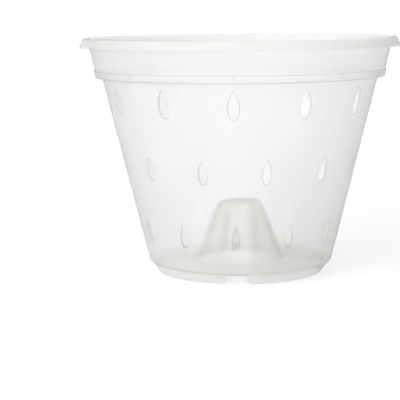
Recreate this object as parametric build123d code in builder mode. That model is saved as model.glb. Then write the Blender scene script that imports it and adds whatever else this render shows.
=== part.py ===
from build123d import *
import math
import os

# A clear orchid pot: one thin moulding, drawn region by region from the lip down to the foot.
# Millimetres, +Z up, origin at the centre of the ring that the pot stands on, front towards -Y.

# The whole pot
pot_diameter = 198.0  # across the lip's lower edge
pot_height = 145.0  # from the table to the top of the lip
shell = 1.2  # wall thickness of the moulding
front = -90.0  # direction of the front, in degrees about Z

# Lip: a flange that turns down into a short flared skirt
lip_overhang = 6.2  # how far the lip stands out from the top of the collar
lip_flare = 2.6  # how far the skirt leans outward
lip_drop = 5.4  # from the top of the lip to the skirt's lower edge
lip_thickness = 1.4
lip_rounding = 1.0

# Collar and the stacking step under it
rim_height = 23.9  # from the underside of the step to the top of the lip
collar_flare = 4.3  # how far the collar leans outward
ledge_width = 3.4  # how far the step goes inward
ledge_thickness = 1.4
band_height = 4.4  # the slightly proud band at the foot of the collar
band_proud = 0.7
lug_count = 8
lug_width = 1.6
lug_depth = 2.2

# Wall and its three rows of teardrop slots
wall_bottom_diameter = 114.4
slots_per_row = 12
top_margin = 3.9  # plain wall between the step and the tips of the top row
bottom_margin = 14.8  # plain wall between the floor and the toes of the bottom row
top_slot_width = 7.4
top_slot_height = 17.6
middle_slot_width = 6.0
middle_slot_height = 15.2
bottom_slot_width = 5.0
bottom_slot_height = 15.4
slot_belly = 0.36  # height of the widest place, as a share of the slot's height
slot_toe = 0.5  # width of the slot's flat bottom, as a share of the slot's width

# Floor, heel and foot
floor_thickness = 1.2
cove = 2.5  # rounding inside the corner of wall and floor
heel_drop = 2.9  # from the underside of the floor down to the bend in the foot's outside
heel_inset = 3.8  # from the bottom of the wall in to that bend
toe_drop = 2.9  # from the bend down to the table
toe_inset = 1.9  # from the bend in to the foot's lower edge
foot_thickness = 1.6
notch_count = 4
notch_width = 12.2
notch_rounding = 3.0

# Air cone in the middle of the floor
cone_base_diameter = 52.0
cone_shoulder_diameter = 29.0
cone_height = 32.0  # from the top of the floor to the shoulder
cap_rise = 4.2  # from the shoulder to the top of the closed cap
rib_count = 6
rib_angle = 7.5  # width of a rib, in degrees about the axis
rib_proud = 1.5
rib_run_out = 3.0  # height over which a rib fades into the shoulder
drains_per_panel = 3  # drain slits side by side between two ribs
drain_pitch = 5.0  # from one slit to the next, in degrees about the axis
drain_width = 0.9
drain_length = 19.5
drain_rise = 1.2  # from the floor to the lower end of a slit

# Levels
foot_height = heel_drop + toe_drop
floor_top = foot_height + floor_thickness
ledge_level = pot_height - rim_height
shelf_level = ledge_level + ledge_thickness
band_top = ledge_level + band_height
lip_level = pot_height - lip_drop
shoulder_level = floor_top + cone_height

# Outside radii
lip_radius = pot_diameter / 2
collar_top_radius = lip_radius - lip_overhang
collar_bottom_radius = collar_top_radius - collar_flare
wall_top_radius = collar_bottom_radius - ledge_width
wall_bottom_radius = wall_bottom_diameter / 2
bend_radius = wall_bottom_radius - heel_inset
foot_radius = bend_radius - toe_inset
floor_radius = wall_bottom_radius - shell - cove
cone_base_radius = cone_base_diameter / 2
cone_shoulder_radius = cone_shoulder_diameter / 2

# Slopes of the conical faces, as radius gained per height
collar_slope = collar_flare / (lip_level - ledge_level)
wall_slope = (wall_top_radius - wall_bottom_radius) / (ledge_level - floor_top)
heel_slope = heel_inset / (floor_top - toe_drop)
cone_slope = (cone_shoulder_radius - cone_base_radius) / cone_height

# How far a slot's cut reaches to each side of the middle of the shell
cut_reach = 2 * shell


def collar_radius(level):
    """Outside radius of the collar's cone at a level."""
    return collar_bottom_radius + collar_slope * (level - ledge_level)


def wall_radius(level):
    """Outside radius of the slotted wall's cone at a level."""
    return wall_bottom_radius + wall_slope * (level - floor_top)


def heel_radius(level):
    """Outside radius of the heel's cone, between the wall and the bend in the foot."""
    return wall_bottom_radius + heel_slope * (level - floor_top)


def cone_radius(level):
    """Outside radius of the air cone at a level."""
    return cone_base_radius + cone_slope * (level - floor_top)


def section_plane(angle):
    """Upright plane through the axis: local x runs outward at this angle, local y runs up."""
    turn = math.radians(angle)
    return Plane(
        origin=(0, 0, 0),
        x_dir=(math.cos(turn), math.sin(turn), 0),
        z_dir=(math.sin(turn), -math.cos(turn), 0),
    )


def facing_plane(radius, level, slope, angle):
    """Plane that lies against a cone: local y runs up its side, local z points out of it."""
    turn = math.radians(angle)
    lean = math.atan(slope)
    return Plane(
        origin=(radius * math.cos(turn), radius * math.sin(turn), level),
        x_dir=(-math.sin(turn), math.cos(turn), 0),
        z_dir=(math.cos(lean) * math.cos(turn), math.cos(lean) * math.sin(turn), -math.sin(lean)),
    )


def spread(count, first):
    """Angles of a number of features, evenly spaced round the pot."""
    return [first + 360 / count * index for index in range(count)]


with BuildPart() as rim_lip:
    post_lean = collar_slope * lip_drop
    flange_level = pot_height - lip_thickness
    skirt_lean = lip_flare * lip_thickness / lip_drop
    with BuildSketch(section_plane(0)) as lip_section:
        Polygon(
            (collar_top_radius - shell, lip_level),
            (collar_top_radius - shell + post_lean, pot_height),
            (lip_radius - lip_flare, pot_height),
            (lip_radius, lip_level),
            (lip_radius - lip_thickness, lip_level),
            (lip_radius - lip_flare + skirt_lean - lip_thickness, flange_level),
            (collar_radius(flange_level), flange_level),
            (collar_top_radius, lip_level),
        )
        fillet(lip_section.vertices().group_by(Axis.Y)[-1], lip_rounding)
    revolve(axis=Axis.Z)
rim_lip.part.label = "rim_lip"

with BuildPart() as collar_band:
    with BuildSketch(section_plane(0)):
        Polygon(
            (collar_radius(band_top), band_top),
            (collar_top_radius, lip_level),
            (collar_top_radius - shell, lip_level),
            (collar_radius(band_top) - shell, band_top),
        )
    revolve(axis=Axis.Z)
collar_band.part.label = "collar_band"

with BuildPart() as stacking_ledge:
    with BuildSketch(section_plane(0)):
        Polygon(
            (wall_top_radius - shell, ledge_level),
            (collar_bottom_radius + band_proud, ledge_level),
            (collar_radius(band_top) + band_proud, band_top),
            (collar_radius(band_top) - shell, band_top),
            (collar_radius(shelf_level) - shell, shelf_level),
            (wall_radius(shelf_level) - shell, shelf_level),
        )
    revolve(axis=Axis.Z)
stacking_ledge.part.label = "stacking_ledge"

with BuildPart() as stacking_lugs:
    lug_angle = math.degrees(lug_width / collar_radius(shelf_level))
    for lug_middle in spread(lug_count, front):
        with BuildSketch(section_plane(lug_middle - lug_angle / 2)):
            Polygon(
                (collar_radius(shelf_level) - shell, shelf_level),
                (collar_radius(band_top) - shell, band_top),
                (collar_radius(band_top) - shell - lug_depth, band_top),
                (collar_radius(shelf_level) - shell - lug_depth, shelf_level),
            )
        revolve(axis=Axis.Z, revolution_arc=lug_angle)
stacking_lugs.part.label = "stacking_lugs"

with BuildPart() as slotted_wall:
    with BuildSketch(section_plane(0)):
        Polygon(
            (wall_bottom_radius, floor_top),
            (wall_top_radius, ledge_level),
            (wall_top_radius - shell, ledge_level),
            (wall_bottom_radius - shell, floor_top),
        )
    revolve(axis=Axis.Z)
    upright = math.cos(math.atan(wall_slope))
    top_row = ledge_level - top_margin - top_slot_height / 2 * upright
    bottom_row = floor_top + bottom_margin + bottom_slot_height / 2 * upright
    middle_row = (top_row + bottom_row) / 2
    half_step = 180 / slots_per_row
    slot_rows = [
        (top_row, front, top_slot_width, top_slot_height),
        (middle_row, front + half_step, middle_slot_width, middle_slot_height),
        (bottom_row, front, bottom_slot_width, bottom_slot_height),
    ]
    for level, first, width, height in slot_rows:
        middle_radius = wall_radius(level) - shell / 2
        turns = spread(slots_per_row, first)
        with BuildSketch(*[facing_plane(middle_radius, level, wall_slope, turn) for turn in turns]):
            belly = (width / 2, (slot_belly - 0.5) * height)
            toe = (slot_toe * width / 2, -height / 2)
            with BuildLine():
                TangentArc(belly, (0, height / 2), tangent=(0, 1))
                TangentArc(belly, toe, tangent=(0, -1))
                Line(toe, (0, -height / 2))
                mirror(about=Plane.YZ)
            make_face()
        extrude(amount=cut_reach, both=True, mode=Mode.SUBTRACT)
slotted_wall.part.label = "slotted_wall"

with BuildPart() as heel_ring:
    wall_lean = math.atan(wall_slope)
    corner_radius = wall_bottom_radius - shell
    cove_end = (corner_radius + cove * math.sin(wall_lean), floor_top + cove * math.cos(wall_lean))
    with BuildSketch(section_plane(0)):
        with BuildLine():
            Polyline(
                cove_end,
                (corner_radius, floor_top),
                (wall_bottom_radius, floor_top),
                (heel_radius(foot_height), foot_height),
                (floor_radius, foot_height),
                (floor_radius, floor_top),
            )
            TangentArc((floor_radius, floor_top), cove_end, tangent=(1, 0))
        make_face()
    revolve(axis=Axis.Z)
heel_ring.part.label = "heel_ring"

with BuildPart() as base_floor:
    with BuildSketch(Plane.XY.offset(foot_height)):
        Circle(floor_radius)
        Circle(cone_base_radius, mode=Mode.SUBTRACT)
    extrude(amount=floor_thickness)
base_floor.part.label = "base_floor"

with BuildPart() as foot_segments:
    with BuildSketch(section_plane(0)):
        Polygon(
            (heel_radius(foot_height), foot_height),
            (bend_radius, toe_drop),
            (foot_radius, 0),
            (foot_radius - foot_thickness, 0),
            (bend_radius - foot_thickness, toe_drop),
            (heel_radius(foot_height) - foot_thickness, foot_height),
        )
    revolve(axis=Axis.Z)
    with BuildSketch(*[facing_plane(0, 0, 0, turn) for turn in spread(notch_count, front)]):
        side = notch_width / 2
        with BuildLine():
            TangentArc((side + notch_rounding, 0), (side, notch_rounding), tangent=(-1, 0))
            Polyline((side, notch_rounding), (side, floor_top), (0, floor_top))
            Line((0, 0), (side + notch_rounding, 0))
            mirror(about=Plane.YZ)
        make_face()
    extrude(amount=wall_bottom_radius, mode=Mode.SUBTRACT)
foot_segments.part.label = "foot_segments"

with BuildPart() as air_cone:
    with BuildSketch(section_plane(0)):
        Polygon(
            (cone_base_radius, foot_height),
            (cone_base_radius, floor_top),
            (cone_shoulder_radius, shoulder_level),
            (cone_shoulder_radius - shell, shoulder_level),
            (cone_base_radius - shell, floor_top),
            (cone_base_radius - shell, foot_height),
        )
    revolve(axis=Axis.Z)
    drain_level = floor_top + drain_rise + drain_length / 2 * math.cos(math.atan(cone_slope))
    drain_radius = cone_radius(drain_level) - shell / 2
    drain_swing = drain_pitch * (drains_per_panel - 1) / 2
    turns = [
        panel - drain_swing + drain_pitch * index
        for panel in spread(rib_count, front)
        for index in range(drains_per_panel)
    ]
    with BuildSketch(*[facing_plane(drain_radius, drain_level, cone_slope, turn) for turn in turns]):
        SlotOverall(drain_length, drain_width, rotation=90)
    extrude(amount=cut_reach, both=True, mode=Mode.SUBTRACT)
air_cone.part.label = "air_cone"

with BuildPart() as cone_ribs:
    rib_fade = shoulder_level - rib_run_out
    for rib_middle in spread(rib_count, front + 180 / rib_count):
        with BuildSketch(section_plane(rib_middle - rib_angle / 2)):
            Polygon(
                (cone_base_radius, floor_top),
                (cone_base_radius + rib_proud, floor_top),
                (cone_radius(rib_fade) + rib_proud, rib_fade),
                (cone_shoulder_radius, shoulder_level),
            )
        revolve(axis=Axis.Z, revolution_arc=rib_angle)
cone_ribs.part.label = "cone_ribs"

with BuildPart() as cone_cap:
    cap_flat_radius = cone_shoulder_radius - cap_rise
    cap_top = shoulder_level + cap_rise
    with BuildSketch(section_plane(0)):
        with BuildLine():
            TangentArc((cap_flat_radius, cap_top), (cone_shoulder_radius, shoulder_level), tangent=(1, 0))
            Line((cone_shoulder_radius, shoulder_level), (cone_shoulder_radius - shell, shoulder_level))
            TangentArc(
                (cap_flat_radius, cap_top - shell),
                (cone_shoulder_radius - shell, shoulder_level),
                tangent=(1, 0),
            )
            Polyline(
                (cap_flat_radius, cap_top - shell),
                (0, cap_top - shell),
                (0, cap_top),
                (cap_flat_radius, cap_top),
            )
        make_face()
    revolve(axis=Axis.Z)
cone_cap.part.label = "cone_cap"

os.makedirs("parts", exist_ok=True)
export_step(rim_lip.part, "parts/rim_lip.step")
export_step(collar_band.part, "parts/collar_band.step")
export_step(stacking_ledge.part, "parts/stacking_ledge.step")
export_step(stacking_lugs.part, "parts/stacking_lugs.step")
export_step(slotted_wall.part, "parts/slotted_wall.step")
export_step(heel_ring.part, "parts/heel_ring.step")
export_step(base_floor.part, "parts/base_floor.step")
export_step(foot_segments.part, "parts/foot_segments.step")
export_step(air_cone.part, "parts/air_cone.step")
export_step(cone_ribs.part, "parts/cone_ribs.step")
export_step(cone_cap.part, "parts/cone_cap.step")
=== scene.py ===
# %% [markdown]
# # A slotted orchid pot in frosted plastic
#
# An orchid likes its roots in bark and moving air, so its pot is thin, clear and full of slots.
# The real pot is one injection moulding of hazy polypropylene. Its lip, collar, wall and foot and
# the cone in its floor are a single skin a little over a millimetre thick.
#
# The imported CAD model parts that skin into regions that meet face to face. In a see-through
# material each of those meeting faces would show as a pane of its own. So this file builds the
# whole skin again as one closed mesh, on the CAD model's measures, and it stands for every region.

# %% Load the frame
import math

import bmesh
import bpy
from mathutils import Matrix, Vector


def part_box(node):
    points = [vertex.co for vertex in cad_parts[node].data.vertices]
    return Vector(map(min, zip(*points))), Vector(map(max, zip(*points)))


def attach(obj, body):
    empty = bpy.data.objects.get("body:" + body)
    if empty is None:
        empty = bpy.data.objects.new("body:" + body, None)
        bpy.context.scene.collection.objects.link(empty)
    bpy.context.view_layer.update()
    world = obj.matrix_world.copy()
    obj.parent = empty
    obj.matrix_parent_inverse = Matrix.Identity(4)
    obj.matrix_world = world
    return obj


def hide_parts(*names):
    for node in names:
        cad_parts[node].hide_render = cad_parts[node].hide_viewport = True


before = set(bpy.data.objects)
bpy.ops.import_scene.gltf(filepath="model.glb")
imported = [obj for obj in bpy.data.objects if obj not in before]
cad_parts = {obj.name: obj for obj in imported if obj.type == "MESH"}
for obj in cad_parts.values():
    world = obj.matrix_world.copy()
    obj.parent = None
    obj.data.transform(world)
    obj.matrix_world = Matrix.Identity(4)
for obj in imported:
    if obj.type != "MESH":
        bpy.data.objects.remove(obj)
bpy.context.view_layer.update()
print("regions:", ", ".join(sorted(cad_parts)))

# %% [markdown]
# ## Measures
#
# A pot is easiest to draw as its maker would: a radius and a level at each place where the section
# changes, in millimetres. Most of these can be read off the boxes of the CAD regions, which keeps
# the mesh true to the CAD model without copying its numbers. Between two such places the outside is a
# straight line, so a small function gives the radius at any level.

# %% Read the measures off the frame
MM = 0.001  # a millimetre, in Blender's metres
shell = 1.2  # thickness of the moulding
band_proud = 0.7  # the band under the collar stands out this far


def measure(region):
    """Outer radius, lowest level and highest level of a region, in millimetres."""
    low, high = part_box(region)
    return high.x / MM, low.z / MM, high.z / MM


def straight(low_radius, low_level, high_radius, high_level):
    """The radius of a straight-sided cone as a function of the level."""
    slope = (high_radius - low_radius) / (high_level - low_level)
    return lambda level: low_radius + slope * (level - low_level)


lip_radius, lip_level, pot_height = measure("rim_lip")
collar_top_radius, band_top, _ = measure("collar_band")
band_radius, ledge_level, _ = measure("stacking_ledge")
wall_top_radius, floor_top, _ = measure("slotted_wall")
wall_bottom_radius, foot_height, _ = measure("heel_ring")
cone_base_radius, _, shoulder_level = measure("air_cone")
cone_shoulder_radius, _, cap_top = measure("cone_cap")
collar_radius = straight(band_radius - band_proud, band_top, collar_top_radius, lip_level)
wall_radius = straight(wall_bottom_radius, floor_top, wall_top_radius, ledge_level)
cone_radius = straight(cone_base_radius, floor_top, cone_shoulder_radius, shoulder_level)
print(f"pot: {2 * lip_radius:.1f} mm across, {pot_height:.1f} mm high, foot {foot_height:.1f} mm")

# %% [markdown]
# ## A skin laid in rings
#
# A lathe shape could come from Blender's Screw modifier, but this one has slots, notches, lugs and
# ribs that break its roundness. So the skin is laid one by one: points in rings of equal count, and
# quads between one ring and the next. The count is chosen so that every feature starts on a whole
# column.
# Pieces of skin that meet share the same points, which are welded together at the end.
#
# At a step or a cut one looks into the plastic along its thickness, which is a little darker, and a
# darker grey is painted there too, as painted shade for the dark line such an edge shows. The numbers
# of such quads are kept in a list, and later they get that painted shade as a material of their own.

# %% Rings of points and the quads between them
columns = 288  # steps round the pot: 24 to a slot, 36 to a lug, 48 to a rib, 72 to a notch
front = math.radians(-90)
skin_points = []
skin_faces = []
edge_shade_faces = []  # numbers of the quads at steps and cuts


def turn(column):
    """Direction of a column about the axis; column 0 faces the front."""
    return front + math.tau * column / columns


def place(radius, direction, level):
    """A point of the skin in metres, from a radius and a level in millimetres."""
    return radius * MM * math.cos(direction), radius * MM * math.sin(direction), level * MM


def ring(radius, level):
    """One point for each column, all the way round."""
    return [place(radius, turn(column), level) for column in range(columns)]


def rings_of(section):
    """A ring for each (radius, level) point of a section."""
    return [ring(*point) for point in section]


def lay(rows, closed=False, leave_out=(), edges=None):
    """Joins rows of points with quads.

    Closed rows go all the way round, and columns to leave out stay open. Edges is a test of row and
    column that is true for quads at a step or a cut.
    """
    start = len(skin_points)
    width = len(rows[0])
    for row in rows:
        skin_points.extend(row)
    for row in range(len(rows) - 1):
        for column in range(width if closed else width - 1):
            if column not in leave_out:
                here = start + row * width + column
                beside = start + row * width + (column + 1) % width
                if edges and edges(row, column):
                    edge_shade_faces.append(len(skin_faces))
                skin_faces.append((here, beside, beside + width, here + width))


print(f"columns: {columns}, {math.tau * lip_radius / columns:.2f} mm apart at the lip")

# %% [markdown]
# ## Lip and collar, outside
#
# The lip turns over and down into a short flared skirt, so that a thumb finds no sharp edge and the rim
# keeps its round. Under the collar a narrow band stands slightly proud, and then the wall steps in: the
# step lets one pot hang in another. A mould leaves no knife edges, so the section's corners are
# rounded, each by an arc of its own radius. The section runs from the top of the lip down to the slots.
# The band's upper step and its rounded lower edge get painted shade, two fine grey lines, so the narrow
# quads there go into the list of edges.

# %% Outside of the lip, the collar and the step
lip_flare = 2.6
lip_thickness = 1.4
lip_rounding = 1.0
lip_edge = 0.4  # rounding of the skirt's lower edge
hook_rounding = 0.8  # rounding of the hollow between skirt and collar
line_rounding = 0.2  # rounding of the band's upper step
band_rounding = 0.9
step_rounding = 0.5
slots_margin = 1.6  # plain wall between the step and the slotted part


def rounded(corners, steps=4):
    """Section points from corners of (radius, level, rounding), with an arc at each rounded corner."""
    section = []
    for index, (radius, level, rounding) in enumerate(corners):
        corner = Vector((radius, level))
        if not rounding:
            section.append(corner)
            continue
        back = (Vector(corners[index - 1][:2]) - corner).normalized()
        ahead = (Vector(corners[index + 1][:2]) - corner).normalized()
        half_angle = back.angle(ahead) / 2
        centre = corner + (back + ahead).normalized() * rounding / math.sin(half_angle)
        reach = rounding / math.tan(half_angle)
        first_arm = corner + back * reach - centre
        last_arm = corner + ahead * reach - centre
        for step in range(steps + 1):
            section.append(centre + first_arm.lerp(last_arm, step / steps).normalized() * rounding)
    return section


slots_top = ledge_level - slots_margin
flange_level = pot_height - lip_thickness
skirt_lean = lip_flare * lip_thickness / (pot_height - lip_level)
lip_crown = (collar_radius(pot_height) + lip_radius - lip_flare) / 2
rim_outside = rounded([
    (lip_crown, pot_height, 0),
    (lip_radius - lip_flare, pot_height, lip_rounding),
    (lip_radius, lip_level, lip_edge),
    (lip_radius - lip_thickness, lip_level, lip_edge),
    (lip_radius - lip_flare + skirt_lean - lip_thickness, flange_level, hook_rounding),
    (collar_radius(flange_level), flange_level, hook_rounding),
    (collar_radius(band_top), band_top, line_rounding),
    (band_radius, band_top, line_rounding),
    (collar_radius(ledge_level) + band_proud, ledge_level, band_rounding),
    (wall_top_radius, ledge_level, step_rounding),
    (wall_radius(slots_top), slots_top, 0),
])


def is_band_edge(row, column):
    """True for the narrow quads between the top of the band and the step under it."""
    upper, lower = rim_outside[row].y, rim_outside[row + 1].y
    near_band = lower < band_top + line_rounding and upper > ledge_level - step_rounding
    return near_band and upper - lower < band_rounding


lay(rings_of(rim_outside), closed=True, edges=is_band_edge)
edge_strips = len(edge_shade_faces) // columns
print(f"outside of the rim: {len(rim_outside)} rings, {edge_strips} strips on the edges of the band")

# %% [markdown]
# ## Lip and collar, inside, with the stacking lugs
#
# Inside the step is a narrow shelf. Thin lugs stand on it against the collar: the next pot in a stack
# rests on them and can't jam. Each lug could be a block of its own, pushed into the skin, but a
# see-through skin shows what overlaps. So the rings step round the lugs: two columns close up at each
# side of a lug, and the columns between them take the lug's top and face instead of the shelf. The
# lugs' quads are edges too, so their painted shade shows through the band as short grey ticks.

# %% Inside of the lip, the shelf and its lugs
lug_count = 8
lug_width = 1.6
lug_depth = 2.2
ledge_thickness = 1.4
shelf_level = ledge_level + ledge_thickness
lug_step = columns // lug_count
lug_swing = lug_width / 2 / collar_radius(shelf_level)


def offset_from_middle(column, step):
    """Columns from the nearest of features a step apart, negative on its left."""
    return (column + step // 2) % step - step // 2


def shelf_ring(radius, level, lug_radius, lug_level):
    """A ring with its own radius and level on the lugs, and two columns at each side of a lug."""
    row = []
    for column in range(columns):
        offset = offset_from_middle(column, lug_step)
        direction = turn(column)
        if 1 <= abs(offset) <= 2:
            direction = turn(column - offset) + math.copysign(lug_swing, offset)
        on_lug = abs(offset) <= 1
        row.append(place(lug_radius if on_lug else radius, direction, lug_level if on_lug else level))
    return row


lug_back = collar_radius(band_top) - shell
shelf_back = collar_radius(shelf_level) - shell
shelf_front = wall_radius(shelf_level) - shell
collar_inside = rounded([
    (lip_crown, pot_height, 0),
    (collar_radius(pot_height) - shell, pot_height, lip_rounding),
    (collar_radius(band_top + lug_depth) - shell, band_top + lug_depth, 0),
])
shelf_edge = rounded([
    (shelf_back - lug_depth, shelf_level, 0),
    (shelf_front, shelf_level, step_rounding),
    (wall_radius(slots_top) - shell, slots_top, 0),
])
lug_rows = (len(collar_inside), len(collar_inside) + 1)


def is_lug(row, column):
    """True for the quads of a lug's top, face and sides."""
    return row in lug_rows and -2 <= offset_from_middle(column, lug_step) <= 1


lay(
    rings_of(collar_inside)
    + [
        shelf_ring(lug_back, band_top, lug_back, band_top),
        shelf_ring(shelf_back, shelf_level, lug_back - lug_depth, band_top),
        shelf_ring(shelf_back - lug_depth, shelf_level, shelf_back - lug_depth, shelf_level),
    ]
    + rings_of(shelf_edge[1:]),
    closed=True,
    edges=is_lug,
)
print(f"lugs: {lug_count}, each {lug_width} mm wide")

# %% [markdown]
# ## Teardrop slots
#
# Three staggered rows of slots let air in and water out. A slot has a pointed top, a belly a third of
# the way up and a short flat toe. A boolean cut would leave long thin triangles round each hole, which
# a smooth skin shows as kinks. So each slot gets a cell of wall of its own: rings that start as the
# teardrop and open out, step by step, to the cell's frame. First comes the outline: two arcs and half
# a toe, walked in even steps and mirrored.

# %% The outline of a slot
top_slot = (7.4, 17.6)  # width and height
middle_slot = (6.0, 15.2)
bottom_slot = (5.0, 15.4)
slot_belly = 0.36  # height of the widest place, as a share of the slot's height
slot_toe = 0.5  # width of the flat toe, as a share of the slot's width
arc_steps = 24


def steps_between(start, end, count):
    """Numbers in equal steps from the start to the end, both included."""
    return [start + (end - start) * step / count for step in range(count + 1)]


def evenly(line, count):
    """Points in equal steps along a line of points, both ends included."""
    lengths = [0.0]
    for start, end in zip(line, line[1:]):
        lengths.append(lengths[-1] + (end - start).length)
    spots = []
    piece = 0
    for index in range(count + 1):
        along = lengths[-1] * index / count
        while piece < len(line) - 2 and lengths[piece + 1] < along:
            piece += 1
        share = (along - lengths[piece]) / (lengths[piece + 1] - lengths[piece])
        spots.append(line[piece].lerp(line[piece + 1], share))
    return spots


def teardrop(width, height, count):
    """Points round a slot from its tip, right side first: (across, up) from its middle."""
    belly = (slot_belly - 0.5) * height
    tip_rise = height / 2 - belly
    toe_drop = height / 2 + belly
    toe_reach = (1 - slot_toe) * width / 2
    upper = (tip_rise**2 + (width / 2) ** 2) / width
    lower = (toe_drop**2 + toe_reach**2) / (2 * toe_reach)
    side = []
    for radius, start, end in (
        (upper, math.asin(tip_rise / upper), 0),
        (lower, 0, -math.asin(toe_drop / lower)),
    ):
        for angle in steps_between(start, end, arc_steps):
            across = width / 2 - radius + radius * math.cos(angle)
            side.append(Vector((across, belly + radius * math.sin(angle))))
    del side[arc_steps]  # the arcs share this point
    right = evenly(side + [Vector((0, -height / 2))], count // 2)
    left = [Vector((-spot.x, spot.y)) for spot in reversed(right[1:-1])]
    return right + left


print(f"slots, width and height in mm: {top_slot} on top, {middle_slot}, {bottom_slot} at the bottom")

# %% [markdown]
# ## The slotted wall
#
# Now the cells. A cell is as wide as the distance between two slots and as high as a row. Its frame has
# as many points as the slot's outline, so the two can be joined point by point. All the points between
# them are put back on the wall's cone, on the outside and the inside, and a strip through the
# wall makes the slot's edge. A slot is slightly narrower on the inside, because the steel tongue that
# forms it needs draft to come out. So one sees a little of the cut, and the painted shade on the cut
# makes the grey crescent beside each slot.
# The middle row is shifted by half a cell, which is a whole number of columns, so the frames of all
# three rows still share their points.

# %% Cells with a slot in each
slots_per_row = 12
top_margin = 3.9  # plain wall between the step and the tips of the top row
bottom_margin = 14.8  # plain wall between the floor and the toes of the bottom row
slot_draft = 0.75  # a slot is narrower by this much all round on the inside
cell_steps = 10  # steps up the side of a cell
cell_rings = (0, 0.22, 0.5, 0.75, 1)  # as shares of the way from the slot to the frame


def cell_frame(half_width, low, high):
    """(column, level) points round a cell from the middle of its top, right side first."""
    climb = steps_between(low, high, cell_steps)[:-1]
    fall = steps_between(high, low, cell_steps)[:-1]
    return (
        [(column, high) for column in range(half_width)]
        + [(half_width, level) for level in fall]
        + [(column, low) for column in range(half_width, -half_width, -1)]
        + [(-half_width, level) for level in climb]
        + [(column, high) for column in range(-half_width, 0)]
    )


def lay_cell(middle_column, middle_level, size, border):
    """Lays the wall between a slot and its cell's frame, on both sides, and the slot's cut edge."""
    width, height = size
    frame_spots = [
        Vector(((turn(column) - front) * wall_radius(level), (level - middle_level) / wall_upright))
        for column, level in border
    ]

    def on_wall(spot, depth):
        """The point of the wall at a spot across and up from the slot's middle, at some depth."""
        level = middle_level + spot.y * wall_upright
        radius = wall_radius(level)
        return place(radius - depth, turn(middle_column) + spot.x / radius, level)

    cut = []
    for depth, draft in ((0, 0), (shell, slot_draft)):
        outline = teardrop(width - 2 * draft, height - 2 * draft, len(border))
        cut.append([on_wall(edge, depth) for edge in outline])
        lay(
            [
                [on_wall(edge.lerp(spot, share), depth) for edge, spot in zip(outline, frame_spots)]
                for share in cell_rings
            ],
            closed=True,
        )
    # The strip through the wall is an edge: it gets the painted shade of the second material.
    lay(cut, closed=True, edges=lambda row, column: True)


half_cell = columns // slots_per_row // 2
wall_upright = math.cos(math.atan(wall_radius(1) - wall_radius(0)))  # rise of a step up the wall
top_row = ledge_level - top_margin - top_slot[1] / 2 * wall_upright
bottom_row = floor_top + bottom_margin + bottom_slot[1] / 2 * wall_upright
middle_row = (top_row + bottom_row) / 2
slots_bottom = floor_top + bottom_margin / 2
upper_joint = (top_row + middle_row) / 2
lower_joint = (middle_row + bottom_row) / 2
slot_rows = [
    (top_slot, top_row, 0, upper_joint, slots_top),
    (middle_slot, middle_row, half_cell, lower_joint, upper_joint),
    (bottom_slot, bottom_row, 0, slots_bottom, lower_joint),
]
for size, level, shift, low, high in slot_rows:
    border = cell_frame(half_cell, low, high)
    for slot in range(slots_per_row):
        lay_cell(shift + 2 * half_cell * slot, level, size, border)
print(f"slots: {slots_per_row} a row, at {top_row:.1f}, {middle_row:.1f} and {bottom_row:.1f} mm")

# %% [markdown]
# ## Heel and foot
#
# Under the wall the skin draws in at a well rounded heel and goes on down as a thin foot ring. Notches
# in the ring let water run off and air come in under the floor, and their lower corners are rounded
# off. The foot is laid in rings of a fixed level whose columns bend to follow the notches' sides;
# between those sides no quads are laid, and strips close the cut: two sides and a ceiling for each
# notch.

# %% The foot ring with its notches
heel_rounding = 4.0
heel_inset = 3.8  # the skin draws in this far from the heel to halfway down the foot
toe_inset = 1.9  # and this far from there to the table
foot_thickness = 1.6
notch_count = 4
notch_width = 12.2
notch_rounding = 3.0
notch_side = 5  # the side of a notch runs down this column, counted from its middle
notch_reach = 12  # columns from its middle over which a notch bends the rings
foot_shares = (1, 0.75, 0.5, 0.34, 0.2, 0.1, 0.04, 0)  # levels of its rings, as shares of its height

bend_level = foot_height / 2
bend_radius = wall_bottom_radius - heel_inset
heel_radius = straight(bend_radius, bend_level, wall_bottom_radius, floor_top)
toe_radius = straight(bend_radius - toe_inset, 0, bend_radius, bend_level)
notch_step = columns // notch_count


def foot_radius(level):
    """Outside radius of the foot ring."""
    return heel_radius(level) if level > bend_level else toe_radius(level)


def notch_half_width(level):
    """Half the width of a notch: it widens towards the table, where its corners are rounded off."""
    below = max(notch_rounding - level, 0)
    return notch_width / 2 + notch_rounding - math.sqrt(notch_rounding**2 - below**2)


def foot_ring(radius, level):
    """A ring whose columns bend to follow the sides of the notches."""
    side = math.asin(notch_half_width(level) / radius)
    reach = turn(notch_reach) - front
    row = []
    for column in range(columns):
        offset = offset_from_middle(column, notch_step)
        steps = abs(offset)
        if steps <= notch_side:
            swing = side * steps / notch_side
        elif steps <= notch_reach:
            swing = side + (reach - side) * (steps - notch_side) / (notch_reach - notch_side)
        else:
            swing = turn(steps) - front
        row.append(place(radius, turn(column - offset) + math.copysign(swing, offset), level))
    return row


foot_levels = [foot_height * share for share in foot_shares]
foot_outside = [foot_ring(foot_radius(level), level) for level in foot_levels]
foot_inside = [foot_ring(foot_radius(level) - foot_thickness, level) for level in foot_levels]
open_columns = {
    column for column in range(columns)
    if -notch_side <= offset_from_middle(column, notch_step) < notch_side
}
heel = rounded([
    (wall_radius(slots_bottom), slots_bottom, 0),
    (wall_bottom_radius, floor_top, heel_rounding),
    (foot_radius(foot_height), foot_height, 0),
])
lay(rings_of(heel[:-1]) + [foot_outside[0]], closed=True)
lay(foot_outside + foot_inside[::-1], closed=True, leave_out=open_columns)
for notch in range(notch_count):
    middle = notch * notch_step
    ceiling = [(middle + step) % columns for step in range(-notch_side, notch_side + 1)]
    lay([[row[0][column] for column in ceiling] for row in (foot_outside, foot_inside)])
    for column in (ceiling[0], ceiling[-1]):
        lay([[row[column] for row in foot_outside], [row[column] for row in foot_inside]])
print(f"foot: {len(foot_levels)} rings a side, {notch_count} notches {notch_width} mm wide")

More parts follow.
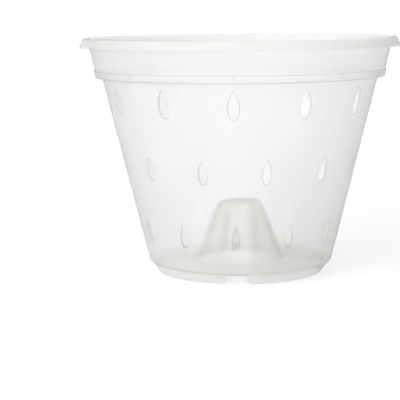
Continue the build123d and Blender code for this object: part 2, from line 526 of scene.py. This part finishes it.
# %% [markdown]
# ## Air cone
#
# The floor rises in the middle to a hollow cone that carries air into the heart of the bark. Six ribs
# stiffen it, and three narrow drain slits stand side by side between each two ribs. The rings go all
# the way round. A rib swells out of them in a steep wave, which needs no sharp edges: the outline of
# a half cosine is added to the radius, and it fades out below the shoulder. At a slit the column on
# each side moves to the slit's edge and no quads are laid between them. Strips through the wall close
# the cut.

# %% Cone, ribs and drain slits
rib_count = 6
rib_proud = 1.5
rib_run_out = 3.0  # height under the shoulder over which the ribs fade out
rib_flat = 1  # columns from a rib's middle to where its top starts to fall off
rib_flank = 2  # columns over which it falls off
drain_width = 0.9
drain_length = 19.5
drain_rise = 1.2  # height of the slits' lower ends over the floor
drain_pitch = 4  # columns from one slit to the next
drain_steps = 8

rib_step = columns // rib_count
drains = [rib_step * panel + drain_pitch * step for panel in range(rib_count) for step in (-1, 0, 1)]
beside_drain = {(drain + side) % columns: (drain, side) for drain in drains for side in (-1, 1)}
cone_upright = math.cos(math.atan(cone_radius(1) - cone_radius(0)))  # rise of a step up the cone
drain_low = floor_top + drain_rise
drain_high = drain_low + drain_length * cone_upright


def ribbed_radius(column, level):
    """Outside radius of the cone with its ribs, which stand halfway between the groups of slits."""
    steps = abs(offset_from_middle(column - rib_step // 2, rib_step))
    fall = min(max((steps - rib_flat) / rib_flank, 0), 1)
    fade = min((shoulder_level - level) / rib_run_out, 1)
    return cone_radius(level) + rib_proud * fade * (1 + math.cos(math.pi * fall)) / 2


def cone_place(column, radius, level):
    """A point of the cone. The columns beside a slit move to its edges."""
    direction = turn(column)
    if column in beside_drain:
        drain, side = beside_drain[column]
        direction = turn(drain) + side * drain_width / 2 / radius
    return place(radius, direction, level)


def cone_ring(level):
    """A ring round the outside of the cone."""
    return [cone_place(column, ribbed_radius(column, level), level) for column in range(columns)]


def hollow_ring(level):
    """A ring round the inside of the cone, which has no ribs."""
    return [cone_place(column, cone_radius(level) - shell, level) for column in range(columns)]


drain_levels = steps_between(drain_low, drain_high, drain_steps)
slit_columns = {(drain + side) % columns for drain in drains for side in (-1, 0)}
slit_rings = []
for ring_at in (cone_ring, hollow_ring):
    slit_rings.append([ring_at(level) for level in drain_levels])
    lay([ring_at(floor_top), slit_rings[-1][0]], closed=True)
    lay(slit_rings[-1], closed=True, leave_out=slit_columns)
for drain in drains:
    across = [(drain + side) % columns for side in (-1, 0, 1)]
    for row in (0, -1):
        lay([[rings[row][column] for column in across] for rings in slit_rings])
    for column in (across[0], across[-1]):
        lay([[row[column] for row in rings] for rings in slit_rings])
print(f"cone: {rib_count} ribs and {len(drains)} drain slits, {drain_width} by {drain_length} mm")

# %% [markdown]
# ## Cap, floor and underside
#
# What is left is round again. The cone is closed by a flat cap with a quarter-round shoulder. The floor
# meets the wall in a wide cove, which makes the mould fill and the pot easy to rinse, and the underside
# runs from the foot ring in to the mouth of the cone.

# %% Cap, floor and underside
cove = 2.5  # rounding between floor and wall
neck_steps = 3  # steps from the slits up to where the ribs run out
cap_steps = 6
cap_face = 0.9  # radius of the one flat face on the cap, as a share of the cap's flat
cone_mouth_rounding = 0.8
floor_middle_radius = (cone_base_radius + wall_bottom_radius) / 2


def close_top(row):
    """Closes a ring with one flat face."""
    start = len(skin_points)
    skin_points.extend(row)
    skin_faces.append(tuple(range(start, start + len(row))))


upper_levels = steps_between(drain_high, shoulder_level - rib_run_out, neck_steps) + [shoulder_level]
cap_rise = cap_top - shoulder_level
cap_flat = cone_shoulder_radius - cap_rise
arc = steps_between(0, math.pi / 2, cap_steps)[1:]
for rise, ring_at in ((cap_rise, cone_ring), (cap_rise - shell, hollow_ring)):
    dome = [ring(cap_flat + rise * math.cos(a), shoulder_level + rise * math.sin(a)) for a in arc]
    flat = ring(cap_face * cap_flat, shoulder_level + rise)
    lay([ring_at(level) for level in upper_levels] + dome + [flat], closed=True)
    close_top(flat)

floor_section = rounded([
    (wall_radius(slots_bottom) - shell, slots_bottom, 0),
    (wall_bottom_radius - shell, floor_top, cove),
    (floor_middle_radius, floor_top, 0),
])
lay(rings_of(floor_section) + [cone_ring(floor_top)], closed=True)
underside = rounded([
    (floor_middle_radius, foot_height, 0),
    (cone_base_radius - shell, foot_height, cone_mouth_rounding),
    (cone_base_radius - shell, floor_top, 0),
])
lay([foot_inside[0]] + rings_of(underside[:-1]) + [hollow_ring(floor_top)], closed=True)
print("skin:", len(skin_points), "points and", len(skin_faces), "faces before welding")

# %% [markdown]
# ## Welding the skin
#
# The pieces of skin so far only lie edge to edge. Welding by distance joins them into one mesh, whose
# normals can then be turned outward. Points that no quad uses, inside the notches and the slits, are
# deleted. A moulding has an inside and an outside everywhere, so every edge must have exactly two
# faces: the check below counts those that don't. The quads in the list of edges are given the second
# material before the welding, while their numbers still hold.

# %% One closed mesh
weld_distance = 0.002
edge_shade_material = 1  # number of the second material, which paints shade on steps and cuts

mesh = bpy.data.meshes.new("orchid_pot")
mesh.from_pydata(skin_points, [], skin_faces)
for face in edge_shade_faces:
    mesh.polygons[face].material_index = edge_shade_material
skin = bmesh.new()
skin.from_mesh(mesh)
bmesh.ops.remove_doubles(skin, verts=skin.verts, dist=weld_distance * MM)
bmesh.ops.delete(skin, geom=[v for v in skin.verts if not v.link_faces], context="VERTS")
bmesh.ops.recalc_face_normals(skin, faces=skin.faces)
open_edges = [edge for edge in skin.edges if len(edge.link_faces) != 2]
print(f"welded: {len(skin.verts)} points, {len(skin.faces)} faces, {len(open_edges)} open edges")
print(f"plastic: {skin.calc_volume() * 1e6:.1f} cubic centimetres")
skin.to_mesh(mesh)
skin.free()
mesh.shade_smooth()
pot = bpy.data.objects.new("orchid_pot", mesh)
bpy.context.scene.collection.objects.link(pot)

# %% [markdown]
# ## Soft edges
#
# Two modifiers finish the form. A Bevel takes the sharpness off the cut edges, and Weighted Normal
# keeps the flats flat beside it.

# %% Soft edges
edge_rounding = 0.15
sharp_from = math.radians(38)

bevel = pot.modifiers.new("soft_edges", "BEVEL")
bevel.width = edge_rounding * MM
bevel.segments = 4
bevel.limit_method = "ANGLE"
bevel.angle_limit = sharp_from
bevel.use_clamp_overlap = False
bevel.miter_outer = "MITER_SHARP"
normals = pot.modifiers.new("flat_stays_flat", "WEIGHTED_NORMAL")
normals.weight = 50
normals.keep_sharp = True
print("modifiers:", [modifier.name for modifier in pot.modifiers])

# %% [markdown]
# ## Helpers for node trees
#
# A material is a tree of small nodes. Each input of a node is linked to an output of another node or
# holds a plain value. Three kinds of node come again and again: Math calculates, Mix goes from one
# value to another, and Map Range takes a number from one range to another. A function for each of
# them keeps the trees below short.

# %% Helpers for node trees
def fill(tree, node, inputs):
    """Fills inputs of a node, by name or number: an output is linked and a plain value is set."""
    for name, value in inputs.items():
        if isinstance(value, bpy.types.NodeSocket):
            tree.links.new(value, node.inputs[name])
        else:
            node.inputs[name].default_value = value


def add_node(tree, kind, inputs, **settings):
    """A new node with some of its settings made and some of its inputs filled."""
    node = tree.nodes.new(kind)
    for name, value in settings.items():
        setattr(node, name, value)
    fill(tree, node, inputs)
    return node


def calculate(tree, operation, *numbers):
    """The result of a Math node."""
    node = add_node(tree, "ShaderNodeMath", dict(enumerate(numbers)), operation=operation)
    return node.outputs["Value"]


def mix(tree, share, first, second, data_type="FLOAT"):
    """The result of a Mix node: the first value at a share of 0 and the second at 1."""
    inputs = {"Factor": share, "A": first, "B": second}
    return add_node(tree, "ShaderNodeMix", inputs, data_type=data_type).outputs["Result"]


def map_range(tree, number, start, end, new_start, new_end):
    """The result of a Map Range node, which stays between the two new ends."""
    inputs = {
        "Value": number,
        "From Min": start,
        "From Max": end,
        "To Min": new_start,
        "To Max": new_end,
    }
    return add_node(tree, "ShaderNodeMapRange", inputs).outputs["Result"]


helpers = (fill, add_node, calculate, mix, map_range)
print("helpers:", ", ".join(helper.__name__ for helper in helpers))

# %% [markdown]
# ## Frosted polypropylene
#
# Clear polypropylene is never quite clear: it is slightly milky, and its skin copies the fine finish
# of the mould. The milkiness isn't the same all over. Plastic enters at the gate, in the middle of the
# cone's cap, and flows out over the floor and up the wall. It leaves faint streaks along its way and
# cools in faint clouds. Painted shade is added to that: the wall darker towards the bottom, the
# slanting sides of the cone darker, and darker still its root and the flanks of its ribs. The collar is
# slightly greyer.
#
# A node group works all this out from the place on the pot. Streaks and clouds are two noises; the one
# for the streaks is drawn out along the height. A third, very fine noise is the grain of the surface.
# The other outputs are masks for the painted shade and the collar's grey, and each runs from 1 at one
# value to 0 at another. For the cone that is a distance from the gate. For the lower wall, the collar
# and the cone's root it is a height. For the ribs' flanks it is the value of a cosine wave that runs
# round the axis once for each rib.

# %% The milky flow of the moulding, and masks of painted shade
streak_squeeze = 0.6  # the lower, the longer the streaks
cloud_share = 0.5  # share of the clouds in the milkiness
grain_share = 0.35  # share of the grain in the surface's height
cone_shade_near, cone_shade_far = 42, 52  # the painted shade on the cone ends between these distances from the gate
low_shade_end = 80  # the painted shade of the lower wall ends at this height
root_shade_low, root_shade_high = 1.0, 6.0  # the painted shade at the cone's root ends between these heights over the floor
rib_wave = -0.88  # the wave's value on a rib's flank; on the rib's top it is -1
rib_shade_reach = 0.12  # the flanks' painted shade ends this far from that value
rib_shade_foot = 1.5  # and it runs out over this height at the foot of the ribs


def make_flow_and_shade_group():
    """A node group: place in; milkiness, masks of painted shade and tone, surface height, 0 to 1, out.
    """
    group = bpy.data.node_groups.new("moulded_flow_and_painted_shade", "ShaderNodeTree")
    group.interface.new_socket("Place", in_out="INPUT", socket_type="NodeSocketVector")
    for name, scale in (("Streaks", 30.0), ("Clouds", 28.0), ("Grain", 1500.0)):
        socket = group.interface.new_socket(name, in_out="INPUT", socket_type="NodeSocketFloat")
        socket.default_value = scale
    for name in ("Milkiness", "Cone_shade", "Low_shade", "Collar", "Root_shade", "Rib_flank_shade", "Height"):
        group.interface.new_socket(name, in_out="OUTPUT", socket_type="NodeSocketFloat")
    inlet = group.nodes.new("NodeGroupInput").outputs

    def vector(operation, *values, output="Vector"):
        """The result of a Vector Math node."""
        inputs = dict(enumerate(values))
        return add_node(group, "ShaderNodeVectorMath", inputs, operation=operation).outputs[output]

    def noise(at, scale, detail):
        """A noise at some place, with its scale from one of the group's inputs."""
        inputs = {"Vector": at, "Scale": inlet[scale], "Detail": detail}
        return add_node(group, "ShaderNodeTexNoise", inputs).outputs["Fac"]

    def fade(length, near, far):
        """A mask that is 1 at the near length and 0 at the far one, both in millimetres."""
        return map_range(group, length, near * MM, far * MM, 1, 0)

    spot = inlet["Place"]
    direction = vector("NORMALIZE", vector("MULTIPLY", spot, (1, 1, 0)))
    drawn_out = vector("MULTIPLY_ADD", spot, (0, 0, streak_squeeze), direction)
    streaks = noise(drawn_out, "Streaks", detail=3)
    clouds = noise(spot, "Clouds", detail=2)
    grain = noise(spot, "Grain", detail=1)

    apart = add_node(group, "ShaderNodeSeparateXYZ", {"Vector": spot}).outputs
    level = apart["Z"]
    # Masks for painted shade: the cone's slanting sides near the gate, its root and the lower wall.
    gate = fade(vector("DISTANCE", spot, (0, 0, cap_top * MM), output="Value"), cone_shade_near, cone_shade_far)
    root = fade(level, floor_top + root_shade_low, floor_top + root_shade_high)
    # Painted shade on the ribs' flanks: a cosine wave round the axis, one period for each rib.
    angle = calculate(group, "ARCTAN2", apart["X"], apart["Y"])
    wave = calculate(group, "COSINE", calculate(group, "MULTIPLY", angle, rib_count))
    off_flank = calculate(group, "SUBTRACT", wave, rib_wave)
    ribs = map_range(group, calculate(group, "ABSOLUTE", off_flank), 0, rib_shade_reach, 1, 0)
    for mask in (
        gate,
        fade(level, shoulder_level - rib_run_out, shoulder_level),
        fade(level, floor_top + rib_shade_foot, floor_top),
    ):
        ribs = calculate(group, "MULTIPLY", ribs, mask)
    add_node(group, "NodeGroupOutput", {
        "Milkiness": mix(group, cloud_share, streaks, clouds),
        "Cone_shade": gate,
        "Low_shade": fade(level, 0, low_shade_end),
        "Collar": fade(level, band_top + line_rounding, band_top - line_rounding),
        "Root_shade": calculate(group, "MULTIPLY", gate, root),
        "Rib_flank_shade": ribs,
        "Height": mix(group, grain_share, streaks, grain),
    })
    return group


flow_and_shade_group = make_flow_and_shade_group()
print("node group:", flow_and_shade_group.name, [item.name for item in flow_and_shade_group.interface.items_tree])

# %% [markdown]
# ## One plastic in two materials, with painted shade
#
# Light goes through the plastic and is scattered a little, so what stands behind it looks soft. In
# Blender that is a Principled BSDF with most of its light transmitted, some roughness and a low index
# of refraction. The real index is near 1.5, but the skin is so thin that it hardly bends what stands
# behind it; with the real index, its rough surface would blur the cone and the far wall away.
#
# The greys are slightly warm, as polypropylene is, and a chain of Mix nodes goes from one to the next
# where a mask says so; except at the collar, those greys are painted shade. A thin wall looks greyer
# the more it slants, because one looks through more of it. Layer Weight tells the slant. It counts only
# where a ray comes from outside, or light that runs along inside the floor would be darkened again and
# again; Backfacing tells that. Near the gate the slanting grey is darker still, painted shade on the
# sides of the cone. Steps and cuts, where one looks into the thickness, get the same plastic in darker
# greys, which paint shade on those edges.

# %% The frosted materials
warm_green, warm_blue = 0.002, 0.009  # a warm grey has this much less green and blue than red
clear_haze, milky_haze = 0.3, 0.7  # values of the milkiness between which the skin gets rougher
clear_roughness, milky_roughness = 0.285, 0.34  # and its roughness there


def warm(grey):
    """A slightly warm grey."""
    return grey, grey - warm_green, grey - warm_blue, 1


def make_frosted_plastic_with_painted_shade(name, clear, milky, slanting, slanting_in_cone_shade, shade_and_tone_greys):
    """Milky translucent polypropylene with painted shade, from its greys; one grey for each mask by
    name.
    """
    material = bpy.data.materials.new(name)
    material.use_nodes = True
    tree = material.node_tree
    on_pot = tree.nodes.new("ShaderNodeTexCoord").outputs["Object"]
    flow = add_node(tree, "ShaderNodeGroup", {"Place": on_pot}, node_tree=flow_and_shade_group).outputs

    # Painted shade: the masks darken the lower wall, the cone's root and its ribs' flanks, and the
    # collar is made slightly greyer.
    thin = mix(tree, flow["Milkiness"], warm(clear), warm(milky), "RGBA")
    for mask, grey in shade_and_tone_greys.items():
        thin = mix(tree, flow[mask], thin, warm(grey), "RGBA")
    # Painted shade: near the gate the slanting grey is darker, on the sides of the cone.
    slant_grey_with_cone_shade = mix(tree, flow["Cone_shade"], warm(slanting), warm(slanting_in_cone_shade), "RGBA")
    slant = add_node(tree, "ShaderNodeLayerWeight", {"Blend": 0.3}).outputs["Facing"]
    from_inside = tree.nodes.new("ShaderNodeNewGeometry").outputs["Backfacing"]
    outside_slant = mix(tree, from_inside, slant, 0)

    haze = map_range(
        tree, flow["Milkiness"], clear_haze, milky_haze, clear_roughness, milky_roughness
    )
    ripple = add_node(tree, "ShaderNodeBump", {
        "Strength": 0.04,
        "Distance": 0.0003,
        "Height": flow["Height"],
    })
    fill(tree, tree.nodes["Principled BSDF"], {
        "Base Color": mix(tree, outside_slant, thin, slant_grey_with_cone_shade, "RGBA"),
        "Roughness": haze,
        "Normal": ripple.outputs["Normal"],
        "IOR": 1.025,
        "Transmission Weight": 0.76,
    })
    return material


# The masked greys for the lower wall, the cone's root and the ribs' flanks, and the slanting grey at
# the gate, are painted shade; the collar's grey only makes it a little greyer.
mesh.materials.append(make_frosted_plastic_with_painted_shade(
    "frosted_polypropylene_painted_shade",
    clear=0.932,
    milky=0.992,
    slanting=0.63,
    slanting_in_cone_shade=0.39,
    shade_and_tone_greys={"Low_shade": 0.926, "Collar": 0.952, "Root_shade": 0.86, "Rib_flank_shade": 0.6},
))
# Steps and cuts: all these greys are painted shade, for the dark lines at the edges.
mesh.materials.append(make_frosted_plastic_with_painted_shade(
    "frosted_cut_edge_painted_shade",
    clear=0.72,
    milky=0.76,
    slanting=0.55,
    slanting_in_cone_shade=0.6,
    shade_and_tone_greys={"Low_shade": 0.72, "Collar": 0.72, "Root_shade": 0.72, "Rib_flank_shade": 0.72},
))
print("materials:", [material.name for material in mesh.materials])

# %% [markdown]
# ## Into the frame
#
# The pot has no moving parts, so the new mesh rides on the one body of the frame. It stands for all
# the regions of the CAD model, which are hidden and stay in the physics model for collision.

# %% Stand in for the regions
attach(pot, "root")
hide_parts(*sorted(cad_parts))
print("stands for", len(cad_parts), "regions")

# %% [markdown]
# ## Floor
#
# The pot stands on a pale floor in an even, white surrounding. The camera, and the plastic itself,
# should see plain white behind the pot, while the pot's own shading comes from a dimmer room. Light
# Path tells those rays apart: what the camera sees, directly or through the plastic, is white at a
# strength of 1.
#
# The floor is lit by the room and the lamp, and a faint glow for the same rays makes up exactly what
# its lit grey lacks to white. So the floor runs into the background without a seam and still takes
# the pot's shadow.

# %% Floor
floor_half = 6.0  # metres
floor_grey = 0.8
room_light = 0.74
key_strength = 1.5
key_height = math.radians(16)
floor_glow = 1 - floor_grey * (room_light + key_strength * math.sin(key_height) / math.pi)


def seen_by_eye(tree):
    """1 for rays that the camera follows, straight, mirrored or through plastic, and 0 for the rest."""
    path = tree.nodes.new("ShaderNodeLightPath").outputs
    straight_or_mirrored = calculate(tree, "MAXIMUM", path["Is Camera Ray"], path["Is Glossy Ray"])
    return calculate(tree, "MAXIMUM", straight_or_mirrored, path["Is Transmission Ray"])


floor_mesh = bpy.data.meshes.new("floor")
floor_mesh.from_pydata(
    [(x * floor_half, y * floor_half, 0) for x, y in ((-1, -1), (1, -1), (1, 1), (-1, 1))],
    [],
    [(0, 1, 2, 3)],
)
floor = bpy.data.objects.new("floor", floor_mesh)
bpy.context.scene.collection.objects.link(floor)
floor_paint = bpy.data.materials.new("floor_paint")
floor_paint.use_nodes = True
tree = floor_paint.node_tree
tree.nodes.remove(tree.nodes["Principled BSDF"])
matt = add_node(tree, "ShaderNodeBsdfDiffuse", {"Color": (floor_grey, floor_grey, floor_grey, 1)})
glow_strength = calculate(tree, "MULTIPLY", seen_by_eye(tree), floor_glow)
glow = add_node(tree, "ShaderNodeEmission", {"Strength": glow_strength})
both = add_node(tree, "ShaderNodeAddShader", {0: matt.outputs["BSDF"], 1: glow.outputs["Emission"]})
fill(tree, tree.nodes["Material Output"], {"Surface": both.outputs["Shader"]})
floor_mesh.materials.append(floor_paint)
print(f"floor: {2 * floor_half} m across, glow {floor_glow:.3f}")

# %% [markdown]
# ## Room
#
# The world is white all round. Its strength is 1 for the rays that the camera follows and lower for
# the light that falls on the pot.

# %% Room
world = bpy.data.worlds.new("studio")
bpy.context.scene.world = world
world.use_nodes = True
fill(world.node_tree, world.node_tree.nodes["Background"], {
    "Color": (1, 1, 1, 1),
    "Strength": mix(world.node_tree, seen_by_eye(world.node_tree), room_light, 1),
})
print("room light:", room_light)

# %% [markdown]
# ## Lamp
#
# One large soft lamp, low at the front left, shades the round of the pot from left to right. A Sun is
# right for it, because it lights near and far alike, and its wide angle is what makes it soft.

# %% Lamp
key_azimuth = math.radians(45)
key_softness = math.radians(50)

key_light = bpy.data.lights.new("key_lamp", "SUN")
key_light.angle = key_softness
key_light.energy = key_strength
key = bpy.data.objects.new("key_lamp", key_light)
key.rotation_euler = (math.radians(90) - key_height, 0, -key_azimuth)
bpy.context.scene.collection.objects.link(key)
print("lamp:", key.name, key_light.energy)

# %% [markdown]
# ## Bounces
#
# A ray that goes in at the front of the pot crosses the wall, the cone and the far wall, two surfaces
# each, before it reaches the white behind them. With too few bounces it would end on the way, as black.

# %% Enough bounces for many layers
cycles = bpy.context.scene.cycles
cycles.blur_glossy = 0
cycles.max_bounces = 40
cycles.transmission_bounces = 40
cycles.glossy_bounces = 24
cycles.diffuse_bounces = 8
print("bounces:", cycles.max_bounces)

# %% [markdown]
# ## Camera
#
# The photograph was taken from slightly above the rim with a long lens, almost square to a column of
# slots. The pot stands right of the middle, so the camera is turned a little to its left.

# %% Camera
camera_distance = 0.816  # metres
camera_height = 0.1634
camera_azimuth = math.radians(2.45)
camera_pitch = math.radians(-8.37)
camera_yaw = math.radians(1.775)
camera_roll = math.radians(-0.5)

lens = bpy.data.cameras.new("camera")
lens.sensor_width = 36
lens.lens = 117.8
camera = bpy.data.objects.new("camera", lens)
camera.matrix_world = (
    Matrix.Rotation(camera_azimuth, 4, "Z")
    @ Matrix.Translation((0, -camera_distance, camera_height))
    @ Matrix.Rotation(camera_yaw, 4, "Z")
    @ Matrix.Rotation(math.radians(90) + camera_pitch, 4, "X")
    @ Matrix.Rotation(camera_roll, 4, "Z")
)
bpy.context.scene.collection.objects.link(camera)
bpy.context.scene.camera = camera
bpy.context.scene.view_settings.view_transform = "Standard"
print("camera at", [round(value, 3) for value in camera.location])
